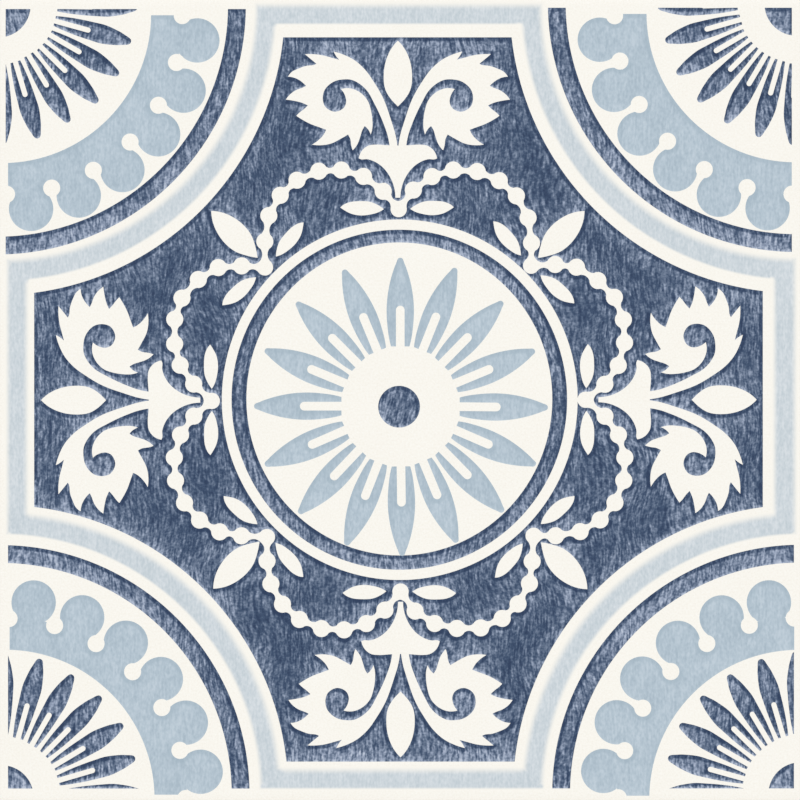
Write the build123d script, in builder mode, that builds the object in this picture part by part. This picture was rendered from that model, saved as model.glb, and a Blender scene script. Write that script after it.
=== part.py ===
"""Self-adhesive floor tile: one square of filled vinyl sheet, die-cut, lying with its printed face up.

Units are millimetres. The origin is the middle of the adhesive back, and +Z points out of the printed face.
"""

import os

from build123d import *

# Driving dimensions
tile_side = 304.8  # 12 in, the standard square
tile_thickness = 1.5  # wear layer, print, vinyl and adhesive together
edge_ease = 0.2  # radius that the cutting die leaves around the printed face

# The tile: a square blank, pressed from its back up to its printed face
with BuildPart() as floor_tile:
    with BuildSketch(Plane.XY) as blank_outline:
        Rectangle(tile_side, tile_side)
    extrude(amount=tile_thickness)
    printed_face = floor_tile.faces().sort_by(Axis.Z)[-1]
    fillet(printed_face.edges(), radius=edge_ease)
floor_tile.part.label = "floor_tile"

os.makedirs("parts", exist_ok=True)
export_step(floor_tile.part, "parts/floor_tile.step")
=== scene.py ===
"""A printed self-adhesive floor tile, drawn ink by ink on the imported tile.

The print is drawn flat, in millimetres from the middle of the tile's face, with x to the right and y up
the picture. A place on the face is one complex number, x + y * 1j, so a turn is a multiplication.
"""

import math
from dataclasses import dataclass

import bpy
import numpy as np
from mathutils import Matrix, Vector
from mathutils.geometry import delaunay_2d_cdt
from mathutils.kdtree import KDTree


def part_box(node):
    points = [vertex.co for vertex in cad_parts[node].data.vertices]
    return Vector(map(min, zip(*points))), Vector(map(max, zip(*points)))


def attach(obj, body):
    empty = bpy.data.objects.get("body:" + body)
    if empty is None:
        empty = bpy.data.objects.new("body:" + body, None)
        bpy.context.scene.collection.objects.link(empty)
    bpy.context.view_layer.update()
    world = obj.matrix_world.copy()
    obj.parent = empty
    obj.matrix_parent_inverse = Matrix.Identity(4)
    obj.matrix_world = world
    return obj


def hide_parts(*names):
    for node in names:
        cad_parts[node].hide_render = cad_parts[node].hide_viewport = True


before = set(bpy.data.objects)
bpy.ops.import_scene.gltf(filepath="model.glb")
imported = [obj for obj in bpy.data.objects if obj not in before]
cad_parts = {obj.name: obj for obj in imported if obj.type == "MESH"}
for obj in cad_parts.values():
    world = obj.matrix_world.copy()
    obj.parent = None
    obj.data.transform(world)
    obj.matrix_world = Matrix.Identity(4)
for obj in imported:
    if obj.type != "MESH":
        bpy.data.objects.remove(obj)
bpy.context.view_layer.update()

# The tile
MM = 0.001  # metres
_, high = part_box("floor_tile")
half_side = high.x / MM
thickness = high.z / MM
edge_ease = 0.2  # radius around the printed face, as on the solid
ease_steps = 3
face_half = half_side - edge_ease

# The inks, from the bare face to the deepest, and how far each is pressed in
CREAM, PALE, LIGHT, NAVY = range(4)
ink_depth = np.array([0.0, 0.03, 0.05, 0.08])
press_width = 0.45  # how far from its outline an ink reaches its depth

# Drawing
full_turn = 360  # degrees
quarter_turn = 90
curve_slip = 0.015  # how far a chord may stray from its arc
curve_step = 0.75  # along hand-drawn curves
longest_chord = 2.6
drawn = []  # (ink, outline), the later over the earlier


def turn(degrees):
    """The number that turns a place anticlockwise about the middle."""
    return np.exp(1j * np.radians(degrees))


def fine(outline):
    """The closed outline with its long chords divided."""
    after = np.roll(outline, -1)
    parts = np.maximum(1, np.ceil(np.abs(after - outline) / longest_chord)).astype(int)
    return np.concatenate([a + (b - a) * np.arange(n) / n for a, b, n in zip(outline, after, parts)])


def clip(outline, window):
    """The part of a closed outline inside a window, given as its left, right, bottom and top."""
    left, right, bottom, top = window
    for way, limit in ((1, right), (-1, -left), (-1j, top), (1j, -bottom)):
        gap = limit - (outline * way).real
        kept = []
        for k in range(len(outline)):
            a, b, gap_a, gap_b = outline[k - 1], outline[k], gap[k - 1], gap[k]
            if gap_a * gap_b < 0:
                kept.append(a + (b - a) * gap_a / (gap_a - gap_b))
            if gap_b >= 0:
                kept.append(b)
        outline = np.array(kept)
        if len(outline) < 3:
            return outline
    return outline


def paint(ink, outline, window=None):
    """Lays an ink down inside a closed outline, cut off at the window if there is one."""
    if window is not None:
        outline = clip(outline, window)
    if len(outline) > 2:
        drawn.append((ink, fine(outline)))


def arc(middle, across, up, start, end):
    """Places along an ellipse's arc, between two angles in degrees."""
    # An arc rises above its chord by about the chord's square over 8 radii
    chord = math.sqrt(8 * max(across, up) * curve_slip)
    steps = math.ceil(math.radians(abs(end - start)) * max(across, up) / chord)
    angles = np.radians(np.linspace(start, end, steps + 1))
    return middle + across * np.cos(angles) + 1j * up * np.sin(angles)


def disc(middle, across, up=None):
    """A round or elliptical outline."""
    return arc(middle, across, up or across, 0, full_turn)[:-1]


def through(places):
    """A smooth curve through the places, without the last of them."""
    places = np.array(places)
    if len(places) < 3:
        return places[:-1]
    span = np.abs(np.diff(places))
    slope = np.diff(places) / span
    inner = (span[1:] * slope[:-1] + span[:-1] * slope[1:]) / (span[:-1] + span[1:])
    lean = np.concatenate([[2 * slope[0] - inner[0]], inner, [2 * slope[-1] - inner[-1]]])
    curve = []
    for a, b, lean_a, lean_b, length in zip(places[:-1], places[1:], lean[:-1], lean[1:], span):
        t = np.arange(0, 1, 1 / math.ceil(length / curve_step))
        bend_a = (lean_a * length - (b - a)) * (1 - t) - (lean_b * length - (b - a)) * t
        curve.append(a + (b - a) * t + t * (1 - t) * bend_a)
    return np.concatenate(curve)


def outline_of(runs):
    """A closed outline of smooth runs.

    Each run starts at a sharp corner and ends at the next run's start.
    """
    runs = [[complex(*place) for place in run] for run in runs]
    ends = runs[1:] + runs[:1]
    return np.concatenate([through(run + end[:1]) for run, end in zip(runs, ends)])


def mirrored(runs):
    """The runs of one half, from axis to axis, and then those of the other half, across the y axis."""
    places = [run + end[:1] for run, end in zip(runs, list(runs[1:]) + [runs[-1][-1:]])]
    return list(runs) + [tuple((-x, y) for x, y in run[:0:-1]) for run in reversed(places)]


# The frame: a pale band and the navy field inside it, scooped out round the four corners
@dataclass
class Corner:
    """One corner of the print.

    Its middles are measured in from the flat face's corner, along x and along y.
    """

    side: complex  # towards the corner, from the middle
    field: complex
    band: complex
    ring: complex
    scallops: complex
    petals: complex
    petal_turn: float
    petal_scale: float
    petal_reaches: dict  # the petals whose tips are further out or in, by number, and how far
    navy_margin: complex  # from the face's sides to where the ink is cut off
    light_margin: complex
    lobe_shifts: dict  # lobes and keyholes that sit off their arc, by number: outwards, and round it
    keyhole_shifts: dict

    def place(self, inwards):
        """Places on the face, from places inwards of its corner."""
        x = self.side.real * (face_half - inwards.real)
        y = self.side.imag * (face_half - inwards.imag)
        return x + 1j * y

    def quarter(self, margin):
        """The window of this corner's quarter of the face, cut off at a margin from its sides."""
        outer = self.place(margin)
        return min(outer.real, 0), max(outer.real, 0), min(outer.imag, 0), max(outer.imag, 0)


top_left = Corner(
    side=-1 + 1j,
    field=-1.1 + 2.85j,
    band=-0.05 + 1.25j,
    ring=-1.1 + 2.2j,
    scallops=0.85 + 5.4j,
    petals=-0.55 + 2.05j,
    petal_turn=-0.55,
    petal_scale=0.99,
    petal_reaches={-2: -0.5, 1: -0.9},
    navy_margin=2.15 + 3.45j,
    light_margin=3.05 + 5.8j,
    lobe_shifts={-3: -0.6j, 2: -0.4j},
    keyhole_shifts={-3: -0.3 - 0.35j, 2: -0.45j, 3: -0.25 - 0.75j},
)
top_right = Corner(
    side=1 + 1j,
    field=0.95 + 2.1j,
    band=0.8 + 0.85j,
    ring=1.3 + 1.25j,
    scallops=1.75 + 5.1j,
    petals=1.35 + 1.4j,
    petal_turn=-0.15,
    petal_scale=0.99,
    petal_reaches={-2: -0.9, 3: 1.0},
    navy_margin=3.1 + 2.95j,
    light_margin=3.15 + 5.3j,
    lobe_shifts={-3: 0.2 - 0.6j},
    keyhole_shifts={-2: 0.4 - 0.35j, 3: -0.4j},
)
bottom_right = Corner(
    side=1 - 1j,
    field=-0.25 + 2.95j,
    band=-0.9 + 3.0j,
    ring=-0.35 + 2.5j,
    scallops=0.7 + 0.45j,
    petals=-0.15 + 2.15j,
    petal_turn=-0.5,
    petal_scale=0.995,
    petal_reaches={-3: -2.0, -2: -0.8, 2: 0.6, 3: 1.3},
    navy_margin=2.3 + 4.4j,
    light_margin=2.2 + 1.6j,
    lobe_shifts={2: 0.65 - 0.45j},
    keyhole_shifts={
        -3: -0.35 - 0.5j,
        -2: -0.3,
        -1: -0.35,
        0: -0.3,
        1: -0.25 - 0.25j,
        2: -0.2 - 0.25j,
        3: -0.6j,
    },
)
bottom_left = Corner(
    side=-1 - 1j,
    field=0.2 + 2.8j,
    band=0.45 + 2.95j,
    ring=0.3 + 2.35j,
    scallops=2.15 + 0.5j,
    petals=0.6 + 1.05j,
    petal_turn=0.4,
    petal_scale=1.01,
    petal_reaches={-2: -0.85, 2: 0.8, 3: 1.4},
    navy_margin=3.05 + 4.35j,
    light_margin=3.65 + 2.0j,
    lobe_shifts={-3: -0.35j, -2: -0.5, -1: -0.35, 2: 0.5},
    keyhole_shifts={-3: -0.3 - 0.85j, 0: -0.5, 1: -0.5, 2: -0.35 - 0.35j, 3: -0.25 - 0.4j},
)
corners = (top_left, top_right, bottom_right, bottom_left)

field_radius = 109.45
# The band's radii around the upper and the lower corners, to the outsides of its soft edges
upper_band_radii = 96.5, 106.15
lower_band_radii = 97.75, 107.3
ring_radii = 87.85, 94.65


def window(left, right, bottom, top):
    """The sides of a printed window, from its margins to the face's edges."""
    return left - face_half, face_half - right, bottom - face_half, face_half - top


band_outside = window(left=1.75, right=0.6, bottom=3.85, top=0.55)
band_inside = window(left=11.45, right=10.85, bottom=12.8, top=9.65)
field_sides = window(left=13.0, right=14.15, bottom=14.6, top=14.2)
face_window = -face_half, face_half, -face_half, face_half


def scooped(sides, upper_radius, lower_radius, arcs):
    """A rectangle scooped out by one of the corners' arcs, given by name."""
    left, right, bottom, top = sides
    outline = []
    for k, corner in enumerate(corners):
        middle = getattr(corner, arcs)
        radius = upper_radius if corner.side.imag > 0 else lower_radius
        x = face_half - abs(right if corner.side.real > 0 else left)
        y = face_half - abs(top if corner.side.imag > 0 else bottom)
        start = math.degrees(math.asin((y - middle.imag) / radius))
        end = math.degrees(math.acos((x - middle.real) / radius))
        if k % 2 == 0:  # every other corner is mirrored, so its arc runs the other way
            start, end = end, start
        outline.append(corner.place(arc(middle, radius, radius, start, end)))
    return np.concatenate(outline)


def paint_frame():
    """The pale band, the cream inside it and the navy field."""
    paint(PALE, scooped(band_outside, upper_band_radii[0], lower_band_radii[0], "band"))
    paint(CREAM, scooped(band_inside, upper_band_radii[1], lower_band_radii[1], "band"))
    paint(NAVY, scooped(field_sides, field_radius, field_radius, "field"))


# Petals, of the middle rosette and of the corners
def petal_outlines(profile, slot_half, slot_end, reach=0):
    """A petal along the x axis and its round-ended slot.

    The profile has half widths from the foot to the tip, which goes out further by the reach.
    """
    foot = profile[0][0]
    longer = 1 + reach / profile[-1][0]
    edge = [complex(along * longer, half) for along, half in profile]
    side = through(edge + [edge[-1].conjugate()])
    petal = np.concatenate([side, np.conj(side[::-1])])
    round_end = arc(slot_end - slot_half, slot_half, slot_half, quarter_turn, -quarter_turn)
    start = foot - slot_half
    slot = np.concatenate([[start + 1j * slot_half], round_end, [start - 1j * slot_half]])
    return petal, slot


# The middle rosette
cream_ring = dict(middle=-0.1 + 0.1j, across=67.7, up=68.6)
navy_ring = dict(middle=-0.25 + 0.1j, across=63.85, up=64.7)
rosette_ground = dict(middle=-0.25 + 0.4j, across=58.2, up=59.55)
rosette_middle = 0.1 - 2.35j
rosette_petals = 16
rosette_profile = (
    (22.6, 3.5),
    (24.5, 4.0),
    (30.0, 4.85),
    (36.5, 5.2),
    (42.0, 4.8),
    (50.0, 3.05),
    (54.0, 1.6),
    (56.1, 0.5),
)
rosette_slot = dict(slot_half=1.65, slot_end=38.2)
# The petals that lean, in degrees, and those whose tips are further out or in, by number from the top
petal_leans = {5: 1.0, 6: 1.6, 7: 1.2, 8: 0.7, 10: -0.7, 11: -0.9, 12: -0.5, 14: 0.6, 15: 0.7}
petal_reaches = {0: 0.3, 2: -0.35, 3: -0.4, 4: -0.55, 7: 0.65, 8: 0.8, 13: -0.75, 14: -0.5, 15: 0.45}
rosette_dot = dict(middle=-0.35 - 2.55j, across=7.95)


def paint_rosette():
    """The rings in the middle of the tile, and the rosette of petals inside them."""
    paint(CREAM, disc(**cream_ring))
    paint(NAVY, disc(**navy_ring))
    paint(CREAM, disc(**rosette_ground))
    for k in range(rosette_petals):
        reach = petal_reaches.get(k, 0)
        petal, slot = petal_outlines(rosette_profile, reach=reach, **rosette_slot)
        way = turn(quarter_turn + k * full_turn / rosette_petals + petal_leans.get(k, 0))
        paint(LIGHT, rosette_middle + petal * way)
        paint(CREAM, rosette_middle + slot * way)
    paint(NAVY, disc(**rosette_dot))


# The corner rosettes
corner_dot = 12.2
corner_pitch = 14.5  # degrees between petals
corner_profile = (
    (22.6, 1.95),
    (28.0, 2.8),
    (38.0, 3.55),
    (42.0, 3.65),
    (46.0, 3.1),
    (50.0, 2.1),
    (53.3, 0.3),
)
corner_slot = dict(slot_half=0.98, slot_end=36.7)
scallop_pitch = 14.75  # degrees between lobes
scallop_radii = 56.65, 69.0
lobe = dict(distance=74.9, radius=8.45)
keyhole = dict(distance=68.8, radius=3.25)
middle_angle = 45  # of the corner's diagonal
# Numbers of the lobes, keyholes and petals across a corner, counted from its middle
lobe_numbers = range(-3, 3)
keyhole_numbers = range(-3, 4)
petal_numbers = range(-3, 4)


def paint_corner(corner):
    """A quarter ring, the scallops inside it, and a quarter rosette of petals."""
    navy_window = corner.quarter(corner.navy_margin)
    light_window = corner.quarter(corner.light_margin)
    paint(NAVY, corner.place(disc(corner.ring, ring_radii[1])), navy_window)
    paint(CREAM, corner.place(disc(corner.ring, ring_radii[0])), face_window)
    paint(LIGHT, corner.place(disc(corner.scallops, scallop_radii[1])), light_window)
    for k in lobe_numbers:
        way = turn(middle_angle + (k + 0.5) * scallop_pitch)
        middle = corner.scallops + (lobe["distance"] + corner.lobe_shifts.get(k, 0)) * way
        paint(LIGHT, corner.place(disc(middle, lobe["radius"])), light_window)
    for k in keyhole_numbers:
        way = turn(middle_angle + k * scallop_pitch)
        middle = corner.scallops + (keyhole["distance"] + corner.keyhole_shifts.get(k, 0)) * way
        paint(CREAM, corner.place(disc(middle, keyhole["radius"])), face_window)
    paint(CREAM, corner.place(disc(corner.scallops, scallop_radii[0])), face_window)
    for k in petal_numbers:
        reach = corner.petal_reaches.get(k, 0)
        petal, slot = petal_outlines(corner_profile, reach=reach, **corner_slot)
        way = turn(middle_angle + k * corner_pitch + corner.petal_turn) * corner.petal_scale
        paint(NAVY, corner.place(corner.petals + petal * way), navy_window)
        paint(CREAM, corner.place(corner.petals + slot * way), face_window)
    paint(NAVY, corner.place(disc(corner.petals, corner_dot)), navy_window)


# The ornaments on the field. Each is drawn upright, above the tile's middle, and turned to its eighth.
eighths = 8
eighth_turn = full_turn / eighths
print_stretch = 0.994, 1.006  # the print is a little narrower and taller than it was drawn
# How far each ornament sits from its drawn place, anticlockwise from the right by eighths of a turn
drifts = (
    -0.35 + 0.1j,
    -0.7 + 0.15j,
    -0.8 + 0.2j,
    -0.5 - 0.25j,
    -0.15 - 0.05j,
    -0.1 + 0.05j,
    0.2 - 0.05j,
    -0.05 + 0.2j,
)

# A scrolled leaf right of the stem: up the stem, round the tips and notches, in to the eye and back
leaf_runs = (
    (
        (0.2, 96.0), (0.9, 100.0), (2.4, 105.0), (6.1, 114.9),
        (9.0, 119.8), (12.8, 125.0), (16.9, 128.5), (20.5, 130.3),
    ),
    ((24.6, 131.6), (23.6, 129.8)),
    ((22.5, 128.5), (25.5, 129.3), (29.0, 130.2)),
    ((35.6, 130.6), (33.3, 128.7)),
    ((31.2, 127.0), (32.0, 126.6), (35.0, 126.2), (38.2, 125.1), (40.6, 123.9)),
    ((42.1, 122.1), (39.4, 121.6), (36.9, 120.2)),
    ((35.2, 118.6), (36.4, 118.0), (39.0, 117.0), (41.3, 115.4)),
    ((42.9, 113.4), (40.0, 113.0), (37.0, 112.3)),
    ((34.5, 111.2), (36.1, 109.7), (37.7, 108.5)),
    ((38.9, 107.3), (36.9, 106.0), (33.0, 104.0), (30.2, 103.0)),
    ((27.5, 102.0), (28.5, 100.1), (30.4, 98.1)),
    ((32.9, 96.4), (29.5, 96.15), (25.4, 96.85), (21.9, 98.6)),
    ((19.1, 100.2), (18.2, 98.4), (17.9, 96.2)),
    ((17.3, 94.2), (15.4, 96.7), (14.4, 99.4), (13.6, 101.9)),
    ((12.7, 103.4), (11.7, 102.5)),
    (
        (10.4, 100.2), (9.8, 102.5), (9.8, 106.0), (10.4, 109.7),
        (11.5, 112.9), (15.6, 116.8), (18.3, 117.7),
    ),
    (
        (21.8, 117.4), (20.0, 114.2), (19.8, 112.6), (20.5, 110.6),
        (24.1, 108.85), (28.0, 111.0), (28.75, 113.6), (28.3, 116.5),
        (24.1, 120.4), (21.0, 121.05), (17.8, 120.9), (15.0, 119.6),
        (12.1, 117.1), (8.95, 111.8), (5.45, 104.2), (3.9, 99.7),
    ),
    ((3.2, 96.0),),
)
bud_half = (
    (
        (0.0, 136.3), (1.0, 135.3), (2.2, 133.8), (4.0, 130.4),
        (5.4, 124.0), (4.6, 117.3), (2.5, 114.0), (0.9, 112.3),
    ),
    ((0.0, 111.4),),
)
cup_half = (
    ((0.0, 96.0), (4.0, 96.15), (8.4, 96.4), (11.2, 96.05), (13.7, 94.2)),
    ((15.0, 91.2), (14.0, 90.8), (12.0, 90.9), (9.0, 90.0), (5.9, 87.9), (3.1, 84.3), (1.45, 80.2)),
    ((0.95, 76.3),),
)
flower_half = (
    ((0.0, 101.5), (2.65, 97.9), (4.5, 92.8), (4.95, 88.5), (4.3, 84.0), (2.4, 80.0)),
    ((0.0, 76.4),),
)
# How much further out the bud or the tall leaf sits, by eighth
rises = {0: 0.6, 1: -0.6, 2: -0.6, 4: 0.95, 5: -0.5, 6: -1.2}
side_leaf_runs = (
    ((4.7, 72.1), (6.9, 73.6), (9.6, 74.75), (14.0, 75.1), (18.2, 74.6), (20.4, 73.6)),
    ((21.4, 72.7), (19.9, 71.7), (17.5, 70.45), (13.5, 69.7), (9.5, 70.15), (6.6, 71.0)),
)
side_leaf_middle = 13.2 + 72.4j
flower_leaf_turn = 3.5  # degrees, about the leaf's middle; the flowers' side leaves lean outwards
flower_leaf_shift = 0.55 + 0.2j
# The side leaves that sit off their place, by eighth and as the first or the second of their pair
side_leaf_shifts = {
    (0, 0): -0.4 + 0.5j,
    (0, 1): -0.45 - 0.35j,
    (2, 1): -0.65 - 0.1j,
    (3, 1): -0.1 - 0.35j,
    (4, 0): 0.2 - 0.4j,
    (4, 1): 0.25 + 0.6j,
    (5, 1): -0.5 + 0.4j,
    (6, 0): -0.75 - 0.2j,
    (6, 1): -0.15 - 0.3j,
    (7, 1): -0.55 - 0.1j,
}
foot_middle = 72.4j
foot_radius = 3.1
# The feet that sit off their place, by eighth, and how far
foot_shifts = {
    0: -1.0,
    1: -0.3 - 0.55j,
    2: 0.3 - 0.4j,
    3: -0.8j,
    4: 0.5 - 0.3j,
    5: 0.35 - 0.7j,
    7: -0.35j,
}
# The chain of beads from each ornament's foot to the next: angle from the arch's middle, and distance
bead_radius = 3.25
half_arch = ((2.85, 91.25), (8.2, 89.2), (13.4, 85.15), (17.9, 79.25))
arch_middle = 22.25  # degrees from the tile's upright or level axis
chain_drifts = (
    -0.6 - 0.1j,
    -0.5 + 0.3j,
    -0.95 + 0.4j,
    -0.5 + 0.6j,
    0.1 - 0.05j,
    0.2 - 0.3j,
    0.25 - 0.45j,
    -0.15 - 0.15j,
)
# The beads that sit off their arch, by chain and place in it, and how far
bead_shifts = {
    (0, 5): -0.6 - 0.2j,
    (0, 6): -1.1 + 0.4j,
    (0, 7): -0.65 - 0.1j,
    (1, 0): -0.2 - 1.5j,
    (1, 1): -0.6j,
    (1, 5): -0.45 + 0.1j,
    (2, 0): 0.5 - 0.5j,
    (2, 7): -0.1 - 1.2j,
    (3, 0): 0.4 - 0.9j,
    (3, 3): -0.6 - 0.5j,
    (3, 5): 0.35 - 0.6j,
    (4, 7): -0.3,
    (6, 0): -0.45 - 0.4j,
    (6, 2): 0.5j,
    (6, 3): 0.5 + 0.2j,
    (6, 4): 0.4 + 0.3j,
    (6, 7): -0.4 - 0.3j,
    (7, 0): -0.8 - 0.1j,
}
link_half = 1.0
link_root = dict(along=2.3, half=2.0)


def on_print(places, eighth, drift):
    """Upright places turned to their eighth of the print, stretched and drifted as it is."""
    turned = places * turn(eighth_turn * eighth - quarter_turn)
    return turned.real * print_stretch[0] + 1j * turned.imag * print_stretch[1] + drift


def mirror(outline):
    """The outline on the other side of the upright axis."""
    return -np.conj(outline)


def foot_at(eighth):
    """The middle of an ornament's foot."""
    return on_print(foot_middle, eighth, drifts[eighth]) + foot_shifts.get(eighth, 0)


def paint_ornament(eighth):
    """Scrolled leaves, a bud and a cup, or one tall leaf on a diagonal; then side leaves and a foot."""
    side_leaf = outline_of(side_leaf_runs)
    if eighth % 2 == 0:
        leaf = outline_of(leaf_runs)
        bud = outline_of(mirrored(bud_half)) + 1j * rises.get(eighth, 0)
        shapes = [leaf, mirror(leaf), bud, outline_of(mirrored(cup_half))]
    else:
        shapes = [outline_of(mirrored(flower_half)) + 1j * rises.get(eighth, 0)]
        leaning = (side_leaf - side_leaf_middle) * turn(flower_leaf_turn)
        side_leaf = leaning + side_leaf_middle + flower_leaf_shift
    for shape in shapes:
        paint(CREAM, on_print(shape, eighth, drifts[eighth]))
    for k, shape in enumerate((side_leaf, mirror(side_leaf))):
        drift = drifts[eighth] + side_leaf_shifts.get((eighth, k), 0)
        paint(CREAM, on_print(shape, eighth, drift))
    paint(CREAM, disc(foot_at(eighth), foot_radius))


def link_outline(a, b):
    """The waisted link between two beads."""
    way = (b - a) / abs(b - a)
    ends = a + link_root["along"] * way, (a + b) / 2, b - link_root["along"] * way
    across = np.array([link_root["half"], link_half, link_root["half"]]) * 1j * way
    upper = through(np.array(ends) + across)
    lower = through((np.array(ends) - across)[::-1])
    return np.concatenate([upper, [ends[2] + across[2]], lower, [ends[0] - across[0]]])


def paint_chain(eighth):
    """The arch of beads between an ornament's foot and the next one's, anticlockwise."""
    following = (eighth + 1) % eighths
    middle = arch_middle if eighth % 2 == 0 else eighth_turn - arch_middle
    arch = [(middle - angle, distance) for angle, distance in reversed(half_arch)]
    arch += [(middle + angle, distance) for angle, distance in half_arch]
    beads = []
    for k, (angle, distance) in enumerate(arch):
        drift = chain_drifts[eighth] * (1 - angle / eighth_turn)
        drift += chain_drifts[following] * angle / eighth_turn
        drift += bead_shifts.get((eighth, k), 0)
        beads.append(on_print(1j * distance * turn(angle), eighth, drift))
        paint(CREAM, disc(beads[-1], bead_radius))
    row = [foot_at(eighth), *beads, foot_at(following)]
    for a, b in zip(row, row[1:]):
        paint(CREAM, link_outline(a, b))


square = np.array([-1 - 1j, 1 - 1j, 1 + 1j, -1 + 1j]) * face_half
paint(CREAM, square)
paint_frame()
for corner in corners:
    paint_corner(corner)
paint_rosette()
for eighth in range(eighths):
    paint_ornament(eighth)
    paint_chain(eighth)


# The face, as a mesh of the inks' areas
merge_gap = 0.004  # places nearer than this are one
whole_hull = 0  # the kind of triangulation that fills the hull of all the places


def inside(outline, places):
    """Which of the places lie inside a closed outline."""
    after = np.roll(outline, -1)
    hits = np.zeros(len(places), int)
    for a, b in zip(outline, after):
        if a.imag != b.imag:
            crossed = (places.imag < a.imag) != (places.imag < b.imag)
            at = a.real + (places.imag - a.imag) * (b.real - a.real) / (b.imag - a.imag)
            hits += crossed & (places.real < at)
    return hits % 2 == 1


def inks_at(places):
    """The ink that shows at each place."""
    ink = np.zeros(len(places), int)
    order = np.argsort(places.imag)
    heights = places.imag[order]
    for kind, outline in drawn:
        first, last = np.searchsorted(heights, (outline.imag.min(), outline.imag.max()))
        near = order[first:last]
        x = places.real[near]
        near = near[(x > outline.real.min()) & (x < outline.real.max())]
        if len(near):
            ink[near[inside(outline, places[near])]] = kind
    return ink


def triangulate(places, chords):
    """Places and triangles of a mesh that holds all the chords."""
    points = [Vector((place.real, place.imag)) for place in places]
    points, _, triangles, _, _, _ = delaunay_2d_cdt(points, chords, [], whole_hull, merge_gap)
    points = np.array([(p.x, p.y) for p in points])
    return points[:, 0] + 1j * points[:, 1], np.array(triangles)


def chords_of(outlines):
    """All the outlines' places in a row, and their chords as pairs of numbers."""
    chords = []
    first = 0
    for outline in outlines:
        n = len(outline)
        chords += [(first + k, first + (k + 1) % n) for k in range(n)]
        first += n
    return np.concatenate(outlines), chords


def ink_borders(places, triangles, ink):
    """The chords between two inks: starts, ends and the inks on both sides, the deeper on the left."""
    edges = np.concatenate([triangles[:, [0, 1]], triangles[:, [1, 2]], triangles[:, [2, 0]]])
    owner = np.tile(np.arange(len(triangles)), 3)
    key = np.sort(edges, axis=1)
    order = np.lexsort((key[:, 1], key[:, 0]))
    same = (key[order[:-1]] == key[order[1:]]).all(1)
    one, two = order[:-1][same], order[1:][same]
    ink_one, ink_two = ink[owner[one]], ink[owner[two]]
    differs = ink_one != ink_two
    chords = edges[np.where(ink_one > ink_two, one, two)][differs]
    inks = np.stack([np.maximum(ink_one, ink_two), np.minimum(ink_one, ink_two)], axis=1)[differs]
    return places[chords[:, 0]], places[chords[:, 1]], inks


outlined, outline_chords = chords_of([outline for ink, outline in drawn])
places, triangles = triangulate(outlined, outline_chords)
triangle_ink = inks_at(places[triangles].mean(1))
border_starts, border_ends, border_inks = ink_borders(places, triangles, triangle_ink)

# Rows of places beside the borders, so that the pressed edges and the painted shade and highlight along
# the inks' borders follow them
row_offsets = {
    CREAM: (0.45,),
    PALE: (0.5, 1.2, 2.2, 3.3),
    LIGHT: (0.3, 1.0, 2.1),
    NAVY: (0.2, 0.5, 1.0, 1.85),
}
row_slack = 0.9  # a place is dropped where another border is nearer than this share of its offset
row_cell = 0.3  # of the places in a cell of this size, one is kept
fill_pitch = 3.0  # places that fill the wide areas
fill_gap = 2.0
sample_step = 0.15  # along the borders, to measure from


class Ruler:
    """Measures from any place to the nearest border of an ink."""

    def __init__(self, starts, ends):
        parts = np.ceil(np.abs(ends - starts) / sample_step).astype(int)
        steps = [a + (b - a) * np.arange(n) / n for a, b, n in zip(starts, ends, parts)]
        self.samples = np.concatenate(steps)
        self.outward = np.repeat(-1j * (ends - starts) / np.abs(ends - starts), parts)
        self.tree = KDTree(len(self.samples))
        for k, sample in enumerate(self.samples):
            self.tree.insert((sample.real, sample.imag, 0), k)
        self.tree.balance()

    def nearest(self, places):
        """The number of the nearest sample to each place, and the gap to it."""
        found = np.array([self.tree.find((place.real, place.imag, 0))[1] for place in places], int)
        return found, np.abs(places - self.samples[found])


def from_middle(places):
    """How far the places lie from the tile's middle, along x or along y, whichever is more."""
    return np.maximum(np.abs(places.real), np.abs(places.imag))


def rows_beside(ruler):
    """Rows of places on both sides of the borders."""
    middle = (border_starts + border_ends) / 2
    left = 1j * (border_ends - border_starts) / np.abs(border_ends - border_starts)
    rows = []
    for side, inks in ((left, border_inks[:, 0]), (-left, border_inks[:, 1])):
        for kind, offsets in row_offsets.items():
            for offset in offsets:
                row = (middle + side * offset)[inks == kind]
                _, gap = ruler.nearest(row)
                rows.append(row[gap > row_slack * offset])
    rows = np.concatenate(rows)
    rows = rows[from_middle(rows) < face_half - row_cell]
    _, kept = np.unique(np.round(rows / row_cell), return_index=True)
    return rows[kept]


def filling(ruler):
    """A loose grid of places in the wide areas."""
    grid = grid_of(fill_pitch).ravel()
    _, gap = ruler.nearest(grid)
    return grid[gap > fill_gap]


def grid_of(pitch):
    """Rows of places all over the face."""
    steps = int(face_half / pitch)
    line = np.arange(-steps, steps + 1) * pitch
    return line[None, :] + 1j * line[:, None]


def smooth_step(amount):
    """0 to 1, with soft ends, as the amount goes from 0 to 1."""
    amount = np.clip(amount, 0, 1)
    return amount * amount * (3 - 2 * amount)


ruler = Ruler(border_starts, border_ends)
face_edge = fine(square)
loose = np.concatenate([rows_beside(ruler), filling(ruler)])
starts_and_ends = np.concatenate([border_starts, border_ends])
count = len(border_starts)
edge_first = 2 * count
edge_count = len(face_edge)
chords = [(k, count + k) for k in range(count)]
chords += [(edge_first + k, edge_first + (k + 1) % edge_count) for k in range(edge_count)]
places, triangles = triangulate(np.concatenate([starts_and_ends, face_edge, loose]), chords)
triangle_ink = inks_at(places[triangles].mean(1))

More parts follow.
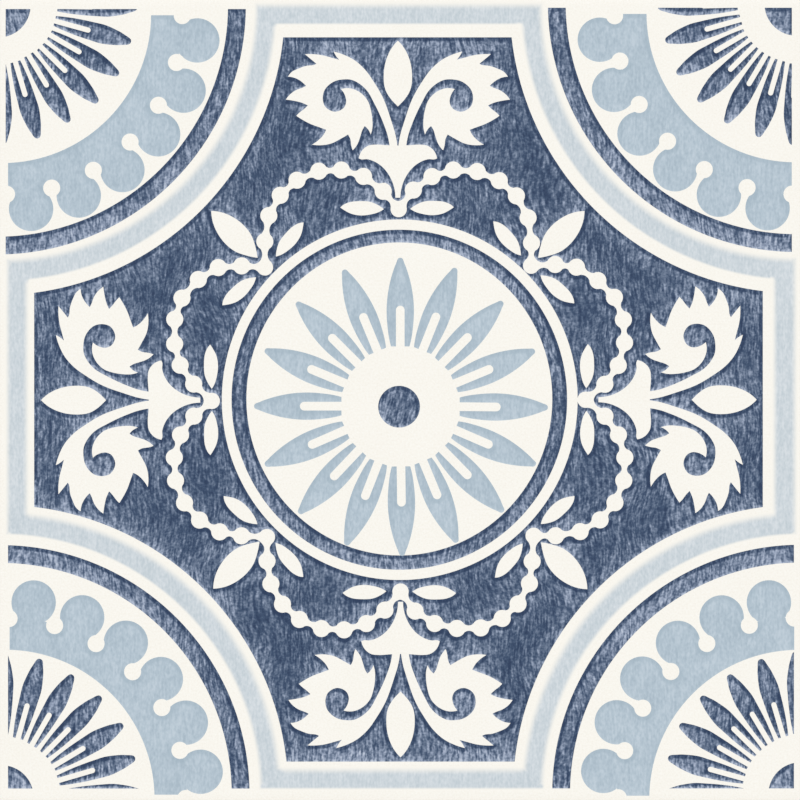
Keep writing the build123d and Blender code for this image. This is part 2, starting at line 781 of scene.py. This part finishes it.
# The relief: each ink is pressed in from its border
place_ink = np.zeros(len(places), int)
np.maximum.at(place_ink, triangles.ravel(), np.repeat(triangle_ink, 3))
found, gap = ruler.nearest(places)
on_border = 0.02
to_border = (ruler.samples[found] - places) / np.maximum(gap, on_border)
towards = np.where(gap > on_border, to_border, ruler.outward[found])
height = thickness - ink_depth[place_ink] * smooth_step(gap / press_width)

# How much of what lies around a place is paler than navy
glow_pitch = 0.9
glow_reach = dict(across=3.0, up=6.0)  # the spread of the soft spot that is looked at
spreads = 3  # how far out the spot is followed
edge_cells = math.ceil(spreads * glow_reach["up"] / glow_pitch)


def glow_at(places):
    """The share of a soft spot around each place that is paler than navy."""
    grid = grid_of(glow_pitch)
    paler = inks_at(grid.ravel()).reshape(grid.shape) != NAVY
    glow = np.pad(paler.astype(float), edge_cells, mode="edge")
    steps = np.arange(-edge_cells, edge_cells + 1) * glow_pitch
    for axis, reach in ((0, glow_reach["up"]), (1, glow_reach["across"])):
        spot = np.exp(-(steps / reach) ** 2 / 2)
        glow = np.apply_along_axis(np.convolve, axis, glow, spot / spot.sum(), mode="valid")
    middle = len(grid) // 2
    row = np.clip(np.round(places.imag / glow_pitch).astype(int) + middle, 0, len(grid) - 1)
    column = np.clip(np.round(places.real / glow_pitch).astype(int) + middle, 0, len(grid) - 1)
    return glow[row, column]


# What the materials read: the gap to the nearest border, how far that border is an upper or a lower one,
# by a level and by how far it lies to the right and up, and the glow
widest_gap = 4.0
# The upper share leans a little to the right, as a light from above would fall; it sets the inks'
# painted shade, and the lower share sets their painted highlight
upper_border = dict(level=0.72, right=0.1, up=0.85)
lower_border = dict(level=-0.2, right=0.0, up=-1.3)


def border_share(level, right, up):
    """How far the nearest border is one of a kind, from 0 to 1."""
    return np.clip(level + right * towards.real + up * towards.imag, 0, 1)


readings = {
    "gap": np.minimum(gap, widest_gap),
    "glow": glow_at(places),
    "upper": border_share(**upper_border),
    "lower": border_share(**lower_border),
}

# The tile's mesh: the printed face, its eased edge, the cut sides and the adhesive back
CUT_EDGE, BACK = 4, 5


def rings_below(loop):
    """Loops of places and heights down the eased edge and the cut side, below the face's edge."""
    angles = np.radians(np.linspace(0, quarter_turn, ease_steps + 1)[1:])
    rings = []
    for angle in angles:
        out = (face_half + edge_ease * math.sin(angle)) / face_half
        rings.append((loop * out, thickness - edge_ease * (1 - math.cos(angle))))
    rings.append((loop * half_side / face_half, 0.0))
    return rings


def build_tile():
    """The whole tile as one closed mesh, with its readings and its map."""
    edge = np.flatnonzero(from_middle(places) > face_half - on_border)
    edge = edge[np.argsort(np.angle(places[edge]))]
    n = len(edge)
    after = np.roll(np.arange(n), -1)
    x_y, z = [places], [height]
    faces = triangles.tolist()
    looks = triangle_ink.tolist()
    upper = edge
    rings = rings_below(places[edge])
    first = len(places)
    for k, (ring, level) in enumerate(rings):
        lower = first + k * n + np.arange(n)
        faces += np.stack([upper, lower, lower[after], upper[after]], axis=1).tolist()
        looks += [CUT_EDGE if k == len(rings) - 1 else CREAM] * n
        x_y.append(ring)
        z.append(np.full(n, level))
        upper = lower
    faces.append(upper[::-1].tolist())
    looks.append(BACK)
    x_y = np.concatenate(x_y)
    vertices = np.stack([x_y.real, x_y.imag, np.concatenate(z)], axis=1) * MM
    mesh = bpy.data.meshes.new("printed_tile")
    mesh.from_pydata(vertices.tolist(), [], faces)
    mesh.polygons.foreach_set("material_index", looks)
    mesh.polygons.foreach_set("use_smooth", [look < CUT_EDGE for look in looks])
    for name, reading in readings.items():
        values = np.zeros(len(vertices), np.float32)
        values[:len(reading)] = reading
        mesh.attributes.new(name, "FLOAT", "POINT").data.foreach_set("value", values)
    add_map(mesh)
    mesh.update()
    tile = bpy.data.objects.new("printed_tile", mesh)
    bpy.context.scene.collection.objects.link(tile)
    return tile


# The map: the face over most of a square, the sides and back in a strip beside it
map_share = 0.94
strip_start = 0.955
strip_width = 0.04
wall_pitch = strip_width / 4  # the four sides stand beside each other
wall_width = strip_width / 5  # narrower than the pitch, which leaves gaps
wall_foot = 0.1
wall_length = 0.85


def add_map(mesh):
    """Adds the map to the mesh, by each face's look and the way that it faces."""
    corner_vertex = np.zeros(len(mesh.loops), int)
    mesh.loops.foreach_get("vertex_index", corner_vertex)
    spots = np.zeros(3 * len(mesh.vertices), np.float32)
    mesh.vertices.foreach_get("co", spots)
    spots = spots.reshape(-1, 3)[corner_vertex] / MM
    looks = np.zeros(len(mesh.polygons), int)
    mesh.polygons.foreach_get("material_index", looks)
    sizes = np.zeros(len(mesh.polygons), int)
    mesh.polygons.foreach_get("loop_total", sizes)
    normals = np.zeros(3 * len(mesh.polygons), np.float32)
    mesh.polygons.foreach_get("normal", normals)
    look = np.repeat(looks, sizes)
    normal = np.repeat(normals.reshape(-1, 3), sizes, axis=0)
    across = (spots[:, 0] / half_side + 1) / 2
    up = (spots[:, 1] / half_side + 1) / 2
    u, v = across * map_share, up * map_share
    back = look == BACK
    u = np.where(back, strip_start + across * strip_width, u)
    v = np.where(back, up * strip_width, v)
    facing_x = np.abs(normal[:, 0]) > np.abs(normal[:, 1])
    wall = np.where(facing_x, np.sign(normal[:, 0]) + 1, np.sign(normal[:, 1]) + 2)
    along = np.where(facing_x, up, across)
    cut = look == CUT_EDGE
    wall_start = strip_start + wall * wall_pitch
    u = np.where(cut, wall_start + spots[:, 2] / thickness * wall_width, u)
    v = np.where(cut, wall_foot + along * wall_length, v)
    layer = mesh.uv_layers.new(name="OFBake")
    layer.data.foreach_set("uv", np.stack([u, v], axis=1).ravel().astype(np.float32))


# Materials
sheen_level = 0.3
grain_span = 0.25, 0.75  # where most of a noise lies
layer_step = 3.0  # between layers of noise, in grains
mix_a, mix_b, mix_result = 6, 7, 2  # the Mix node's sockets for colours


def colour(red, green, blue):
    """A colour for a shader, from the 0 to 255 of a screen, by the screens' standard curve."""
    shares = np.array([red, green, blue]) / 255
    linear = np.where(shares > 0.04045, ((shares + 0.055) / 1.055) ** 2.4, shares / 12.92)
    return (*linear, 1.0)


def node(tree, kind, inputs=None, **settings):
    """A new node. Its inputs, by name or number, are values or other nodes' sockets."""
    made = tree.nodes.new(kind)
    for name, value in settings.items():
        setattr(made, name, value)
    for name, value in (inputs or {}).items():
        if isinstance(value, bpy.types.NodeSocket):
            tree.links.new(value, made.inputs[name])
        else:
            made.inputs[name].default_value = value
    return made


def noise(tree, width, length, detail, spot=0.0, where=None):
    """A soft noise of grains of that width across x and length along y, in millimetres."""
    where = where or node(tree, "ShaderNodeTexCoord").outputs["Object"]
    scale = (1 / (width * MM), 1 / (length * MM), 1 / (width * MM))
    inputs = {"Vector": where, "Scale": scale, "Location": (spot, spot, spot)}
    where = node(tree, "ShaderNodeMapping", inputs).outputs["Vector"]
    inputs = {"Vector": where, "Scale": 1.0, "Detail": detail}
    return node(tree, "ShaderNodeTexNoise", inputs).outputs["Fac"]


def maths(tree, operation, *values):
    """The result of one operation on values or sockets."""
    return node(tree, "ShaderNodeMath", dict(enumerate(values)), operation=operation).outputs[0]


def blend(tree, share, a, b):
    """Colour a going over to colour b by the share."""
    mixed = node(tree, "ShaderNodeMix", {0: share, mix_a: a, mix_b: b}, data_type="RGBA")
    return mixed.outputs[mix_result]


def ramp(tree, amount, tones):
    """A colour by the amount, through tones given as (amount, colour)."""
    made = node(tree, "ShaderNodeValToRGB", {"Fac": amount})
    stops = made.color_ramp.elements
    while len(stops) < len(tones):
        stops.new(0.5)
    for stop, (at, tone) in zip(stops, tones):
        stop.position = at
        stop.color = tone
    return made.outputs["Color"]


def reading(tree, name):
    """One of the mesh's readings."""
    return node(tree, "ShaderNodeAttribute", attribute_name=name).outputs["Fac"]


def range_of(tree, amount, start, end, lowest, highest, soft=False):
    """The amount, from start to end, spread from lowest to highest."""
    inputs = {"Value": amount, "From Min": start, "From Max": end, "To Min": lowest, "To Max": highest}
    kind = "SMOOTHSTEP" if soft else "LINEAR"
    return node(tree, "ShaderNodeMapRange", inputs, interpolation_type=kind).outputs["Result"]


def near_border(tree, start, end, strength):
    """The strength, fading to nothing between two gaps from the nearest border."""
    return range_of(tree, reading(tree, "gap"), start, end, strength, 0.0, soft=True)


def near_side(tree, side, start, end, strength):
    """The same along upper or lower borders only."""
    return maths(tree, "MULTIPLY", near_border(tree, start, end, strength), reading(tree, side))


def new_material(name):
    """A new material, its node tree and its shader."""
    material = bpy.data.materials.new(name)
    material.use_nodes = True
    return material, material.node_tree, material.node_tree.nodes["Principled BSDF"]


def finish_surface(tree, shader, base, roughness, grain, grain_height):
    """Joins the colour, the roughness and a fine grain to the shader."""
    tree.links.new(base, shader.inputs["Base Color"])
    tree.links.new(range_of(tree, grain, *grain_span, *roughness), shader.inputs["Roughness"])
    inputs = {"Strength": 1.0, "Distance": grain_height * MM, "Height": grain}
    bump = node(tree, "ShaderNodeBump", inputs)
    tree.links.new(bump.outputs["Normal"], shader.inputs["Normal"])
    shader.inputs["Specular IOR Level"].default_value = sheen_level


def centred(tree, part, contrast):
    """A noise around 0 with the given contrast."""
    return maths(tree, "MULTIPLY_ADD", part, contrast, -contrast / 2)


def wandering(tree, cell, reach):
    """Places shifted left and right by a wide soft noise, so that streaks lean this way and that."""
    where = node(tree, "ShaderNodeTexCoord").outputs["Object"]
    shift = centred(tree, noise(tree, cell, cell, detail=0.0), reach * MM)
    sideways = node(tree, "ShaderNodeCombineXYZ", {"X": shift}).outputs["Vector"]
    shifted = node(tree, "ShaderNodeVectorMath", {0: where, 1: sideways}, operation="ADD")
    return shifted.outputs["Vector"]


def layered(tree, *layers, middle=0.0, where=None):
    """Layers of noise added up, around the middle.

    Each layer is given as the width and the length of its grains and its contrast.
    """
    tone = middle
    for k, (width, length, contrast) in enumerate(layers):
        grains = noise(tree, width, length, detail=1.0, spot=layer_step * k, where=where)
        tone = maths(tree, "ADD", centred(tree, grains, contrast), tone)
    return tone


def ink_tone(tree, *layers):
    """A tone of layers of noise, around the middle of a ramp."""
    return layered(tree, *layers, middle=0.5)


def even_tones(*tones):
    """Tones evenly spaced from 0 to 1."""
    return [(k / (len(tones) - 1), tone) for k, tone in enumerate(tones)]


cream = colour(250, 247, 239)


def cream_vinyl():
    """The bare face, warm and faintly grained."""
    material, tree, shader = new_material("cream_vinyl")
    tone = ink_tone(tree, (0.75, 0.75, 1.7), (14.0, 16.0, 0.3))
    tones = even_tones(colour(246, 242, 233), cream, colour(253, 251, 245))
    base = ramp(tree, tone, tones)
    grain = noise(tree, width=0.5, length=0.5, detail=3.0)
    finish_surface(tree, shader, base, roughness=(0.45, 0.6), grain=grain, grain_height=0.01)
    return material


def navy_print():
    """The navy ink: brushed streaks, paler near the paler inks, with painted shade along its upper
    borders and a painted highlight along its lower ones.
    """
    material, tree, shader = new_material("navy_print")
    glow = reading(tree, "glow")
    where = wandering(tree, cell=26.0, reach=9.0)
    strokes = (0.85, 0.85, 0.83), (0.85, 2.9, 1.17), (0.85, 6.5, 0.8), (12.0, 14.0, 0.3)
    streaks = layered(tree, *strokes, where=where)
    contrast = range_of(tree, glow, start=0.0, end=0.5, lowest=0.78, highest=0.9)
    depth = range_of(tree, glow, start=0.0, end=0.7, lowest=0.272, highest=0.645)
    tone = maths(tree, "MULTIPLY_ADD", streaks, contrast, depth)
    # Painted shade darkens the tone inside the upper borders, and a painted highlight lightens it inside
    # the lower ones
    painted_shade_rim = near_side(tree, "upper", start=1.0, end=1.88, strength=-0.36)
    painted_highlight_rim = near_side(tree, "lower", start=0.0, end=1.2, strength=0.14)
    tone = maths(tree, "ADD", tone, painted_shade_rim)
    tone = maths(tree, "ADD", tone, painted_highlight_rim)
    tones = even_tones(
        colour(33, 55, 88),
        colour(56, 77, 107),
        colour(101, 117, 142),
        colour(152, 165, 188),
        colour(188, 198, 215),
    )
    base = ramp(tree, tone, tones)
    grain = noise(tree, width=0.4, length=1.2, detail=3.0)
    finish_surface(tree, shader, base, roughness=(0.42, 0.6), grain=grain, grain_height=0.012)
    return material


def light_print():
    """The light blue ink, with painted shade along its upper borders and a painted highlight along its
    lower ones.
    """
    material, tree, shader = new_material("light_blue_print")
    tone = ink_tone(tree, (0.85, 1.5, 1.5), (0.85, 4.5, 1.2), (8.0, 12.0, 0.8))
    tones = even_tones(colour(168, 185, 198), colour(180, 196, 208), colour(192, 206, 217))
    base = ramp(tree, tone, tones)
    # Painted shade inside the upper borders, in a darker blue, and a painted highlight inside the lower
    # ones, in a paler blue
    painted_shade_rim = near_side(tree, "upper", start=1.0, end=2.1, strength=0.45)
    painted_highlight_rim = near_side(tree, "lower", start=0.0, end=0.5, strength=0.3)
    base = blend(tree, painted_shade_rim, base, colour(160, 179, 192))
    base = blend(tree, painted_highlight_rim, base, colour(206, 216, 221))
    grain = noise(tree, width=0.4, length=1.2, detail=3.0)
    finish_surface(tree, shader, base, roughness=(0.44, 0.6), grain=grain, grain_height=0.012)
    return material


def pale_print():
    """The pale blue ink of the band, which fades into the cream at its borders; the fade reaches further
    in from its upper borders as a painted highlight.
    """
    material, tree, shader = new_material("pale_blue_print")
    tone = ink_tone(tree, (0.85, 1.5, 1.6), (0.85, 4.5, 1.25), (8.0, 12.0, 0.6))
    tones = even_tones(colour(194, 205, 212), colour(205, 214, 220), colour(216, 223, 228))
    base = ramp(tree, tone, tones)
    # The fade into the cream is the print's soft edge, widened at the upper borders as a painted
    # highlight
    reach = range_of(tree, reading(tree, "upper"), start=0.0, end=1.0, lowest=1.25, highest=3.4)
    fade_with_painted_highlight = near_border(tree, start=0.0, end=reach, strength=1.0)
    base = blend(tree, fade_with_painted_highlight, base, cream)
    grain = noise(tree, width=0.4, length=1.2, detail=3.0)
    finish_surface(tree, shader, base, roughness=(0.44, 0.6), grain=grain, grain_height=0.012)
    return material


def cut_edge():
    """The cut side of the filled vinyl."""
    material, tree, shader = new_material("cut_vinyl_edge")
    tone = ink_tone(tree, (0.8, 0.8, 2.0), (5.0, 5.0, 1.5))
    tones = even_tones(colour(176, 172, 163), colour(196, 192, 182), colour(212, 208, 199))
    base = ramp(tree, tone, tones)
    grain = noise(tree, width=0.3, length=0.3, detail=3.0)
    finish_surface(tree, shader, base, roughness=(0.6, 0.8), grain=grain, grain_height=0.03)
    return material


def adhesive_back():
    """The mottled adhesive, smoother than the face."""
    material, tree, shader = new_material("adhesive_back")
    tone = ink_tone(tree, (2.0, 2.0, 1.5), (30.0, 30.0, 2.0))
    tones = even_tones(colour(168, 166, 158), colour(184, 181, 172), colour(198, 195, 186))
    base = ramp(tree, tone, tones)
    grain = noise(tree, width=1.5, length=1.5, detail=3.0)
    finish_surface(tree, shader, base, roughness=(0.25, 0.45), grain=grain, grain_height=0.02)
    return material


def floor_material():
    """The plain pale floor."""
    material, tree, shader = new_material("pale_floor")
    tone = ink_tone(tree, (30.0, 30.0, 1.0), (300.0, 300.0, 1.0))
    tones = even_tones(colour(224, 224, 222), colour(232, 232, 230))
    base = ramp(tree, tone, tones)
    grain = noise(tree, width=3.0, length=3.0, detail=2.0)
    finish_surface(tree, shader, base, roughness=(0.7, 0.8), grain=grain, grain_height=0.02)
    return material


tile = build_tile()
for make in (cream_vinyl, pale_print, light_print, navy_print, cut_edge, adhesive_back):
    tile.data.materials.append(make())
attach(tile, "root")
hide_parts("floor_tile")

# The floor, the light and the camera, which looks straight down with the flat face filling its frame
floor_half = 3.0  # metres
floor_gap = 0.0002
eye_height = 1.5
sensor = 36.0  # millimetres
world_strength = 0.8
sun_strength = 0.75
sun_height = 55  # degrees above the floor, over the tile's upper side
sun_spread = 30


def add_floor():
    """A plain floor just under the tile."""
    ways = [(-1, -1), (1, -1), (1, 1), (-1, 1)]
    vertices = [(x * floor_half, y * floor_half, -floor_gap) for x, y in ways]
    mesh = bpy.data.meshes.new("floor")
    mesh.from_pydata(vertices, [], [(0, 1, 2, 3)])
    floor = bpy.data.objects.new("floor", mesh)
    bpy.context.scene.collection.objects.link(floor)
    mesh.materials.append(floor_material())


def add_light():
    """An even white world and one soft sun."""
    world = bpy.data.worlds.new("studio")
    world.use_nodes = True
    background = world.node_tree.nodes["Background"]
    background.inputs["Color"].default_value = (1.0, 1.0, 1.0, 1.0)
    background.inputs["Strength"].default_value = world_strength
    bpy.context.scene.world = world
    lamp = bpy.data.lights.new("soft_sun", "SUN")
    lamp.energy = sun_strength
    lamp.angle = math.radians(sun_spread)
    sun = bpy.data.objects.new("soft_sun", lamp)
    sun.rotation_euler = (math.radians(sun_height - quarter_turn), 0, 0)
    bpy.context.scene.collection.objects.link(sun)


def add_camera():
    """The camera over the middle of the tile."""
    data = bpy.data.cameras.new("camera")
    data.sensor_width = sensor
    data.lens = sensor * (eye_height - high.z) / (2 * face_half * MM)
    camera = bpy.data.objects.new("camera", data)
    camera.location = (0, 0, eye_height)
    bpy.context.scene.collection.objects.link(camera)
    bpy.context.scene.camera = camera


add_floor()
add_light()
add_camera()
bpy.context.scene.view_settings.view_transform = "Standard"
